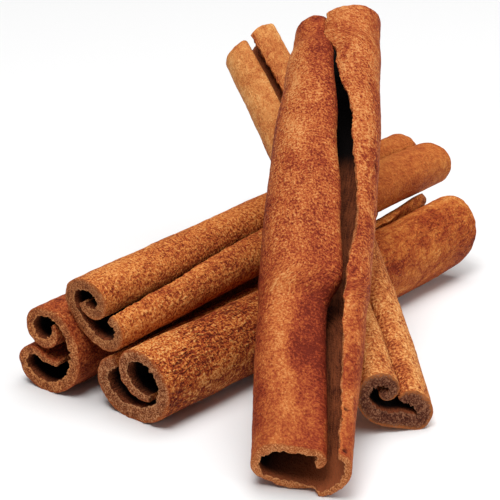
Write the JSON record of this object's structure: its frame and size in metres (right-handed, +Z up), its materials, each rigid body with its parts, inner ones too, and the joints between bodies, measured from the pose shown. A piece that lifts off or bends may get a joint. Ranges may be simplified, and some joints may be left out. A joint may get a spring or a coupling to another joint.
{
  "type": "stack of cinnamon sticks",
  "caption": "Loose stack of rolled cassia bark quills, some side by side on the floor and others laid along and across them.",
  "frame": {"origin": "on the floor, below the middle of the stack's bounding box", "axes": "+Z up; +Y away from the near cut ends, along the stick that lies on top; +X to the right"},
  "size_m": [0.0721, 0.1022, 0.0471],
  "materials": {
    "bark_light": "dry, matt, finely grained, with lighter broken edges",
    "bark_dark": "dry, matt, finely grained and redder, with lighter broken edges"
  },
  "bodies": {
    "root": {"stick_left": "bark_dark", "stick_front": "bark_light", "stick_upper": "bark_light", "stick_bowed": "bark_light", "stick_top": "bark_dark"}
  },
  "joints": []
}
